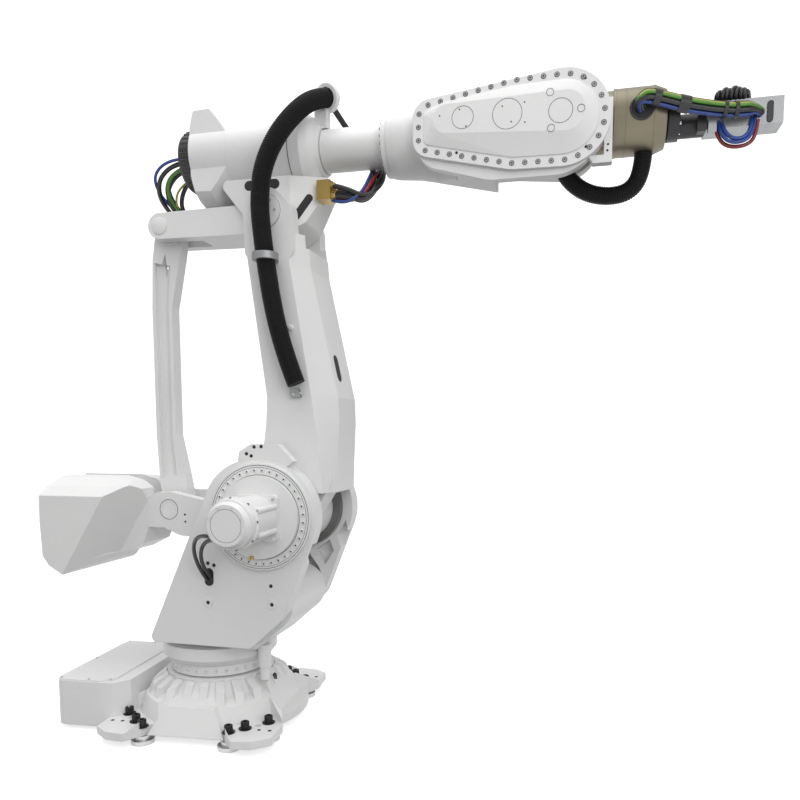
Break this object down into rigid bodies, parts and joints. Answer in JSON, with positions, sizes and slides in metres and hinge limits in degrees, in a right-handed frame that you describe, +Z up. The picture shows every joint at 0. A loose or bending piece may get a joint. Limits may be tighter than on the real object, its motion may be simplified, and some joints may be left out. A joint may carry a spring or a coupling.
{
  "type": "industrial robot arm",
  "caption": "Floor-mounted jointed robot arm with a parallelogram linkage, counterweight, rolling forearm, tilting wrist and a bracket on its tool flange.",
  "frame": {"origin": "the turning axis of the machine where it meets the floor, under the middle of the levelled feet", "axes": "+Z up the turning axis, +X the way the arm reaches at rest; the cast base stands 4.2 degrees round from it, as pictured"},
  "size_m": [3.803, 1.456, 3.422],
  "materials": {
    "paint": "satin light grey cast-metal paint",
    "steel": "machined",
    "black": "black moulded plastic and coated metal",
    "wrist": "warm champagne metallic",
    "bracket": "milled aluminium",
    "rubber": "corrugated black hose and cable sheaths",
    "brass": "brass connectors"
  },
  "bodies": {
    "base": {"base_casting": "paint", "levelling_pads": "steel", "stop_buffer": "rubber", "connection_box": "paint", "box_lid": "paint"},
    "turret": {"turret_drum": "paint", "turret_frame": "paint", "output_flanges": "steel", "stop_bracket": "paint", "stop_pin": "paint", "near_gearbox": "paint", "far_gearbox": "paint", "near_motor": "paint", "far_motor": "paint", "motor_cables": "rubber"},
    "lower_arm": {"lower_arm": "paint", "elbow_caps": "paint", "hose_clamp": "bracket", "hose_bracket": "bracket", "dress_hose_low": "rubber"},
    "elbow_carrier": {"elbow_pin": "steel"},
    "upper_arm": {"elbow_housing": "paint", "link_pin": "steel", "rear_bell": "paint", "rear_cap": "black", "bearing_ring": "paint", "hose_ring": "paint", "connector_block": "brass", "dress_hose_high": "rubber", "front_cables": "rubber", "rear_cables": "rubber"},
    "lever": {"balance_lever": "paint", "counterweight": "paint"},
    "rod_carrier": {"rod_pin": "steel"},
    "rod": {"parallel_rod": "paint"},
    "forearm": {"forearm_tube": "paint", "wrist_body": "paint", "wrist_covers": "paint", "wrist_hose": "rubber"},
    "wrist": {"wrist_unit": "wrist", "wrist_housing": "wrist"},
    "tool": {"tool_flange": "black", "tool_beam": "black", "tool_bracket": "bracket", "tool_loops": "rubber"}
  },
  "joints": [
    {"name": "a1_turn", "type": "hinge", "parent": "base", "child": "turret", "pos_m": [0, 0, 0.301], "axis": [0, 0, 1], "range_deg": [-165, 175]},
    {"name": "a2_swing", "type": "hinge", "parent": "turret", "child": "lower_arm", "pos_m": [0.437, 0, 1.208], "axis": [0, 1, 0], "range_deg": [-45, 60]},
    {"name": "elbow_level", "type": "hinge", "parent": "lower_arm", "child": "elbow_carrier", "pos_m": [0.437, 0, 2.758], "axis": [0, 1, 0], "range_deg": [-60, 45], "deforming": ["dress_hose_low"]},
    {"name": "a3_pitch", "type": "hinge", "parent": "elbow_carrier", "child": "upper_arm", "pos_m": [0.437, 0, 2.758], "axis": [0, 1, 0], "range_deg": [-20, 45], "deforming": ["dress_hose_high"]},
    {"name": "lever_follow", "type": "hinge", "parent": "turret", "child": "lever", "pos_m": [0.437, 0, 1.208], "axis": [0, 1, 0], "range_deg": [-20, 45]},
    {"name": "rod_foot_level", "type": "hinge", "parent": "lever", "child": "rod_carrier", "pos_m": [-0.231, 0, 1.208], "axis": [0, 1, 0], "range_deg": [-45, 20]},
    {"name": "rod_follow", "type": "hinge", "parent": "rod_carrier", "child": "rod", "pos_m": [-0.231, 0, 1.208], "axis": [0, 1, 0], "range_deg": [-45, 60]},
    {"name": "a4_roll", "type": "hinge", "parent": "upper_arm", "child": "forearm", "pos_m": [0.683, 0, 3.113], "axis": [1, 0, 0], "range_deg": [-300, 300]},
    {"name": "a5_tilt", "type": "hinge", "parent": "forearm", "child": "wrist", "pos_m": [1.904, 0, 3.113], "axis": [0, 1, 0], "range_deg": [-120, 120], "deforming": ["wrist_hose"]},
    {"name": "a6_spin", "type": "hinge", "parent": "wrist", "child": "tool", "pos_m": [2.39, 0, 3.113], "axis": [1, 0, 0], "range_deg": [-300, 300]}
  ],
  "couplings": [
    {"joint": "elbow_level", "follows": "a2_swing", "ratio": -1},
    {"joint": "lever_follow", "follows": "a3_pitch", "ratio": 1},
    {"joint": "rod_foot_level", "follows": "a3_pitch", "ratio": -1},
    {"joint": "rod_follow", "follows": "a2_swing", "ratio": 1}
  ]
}
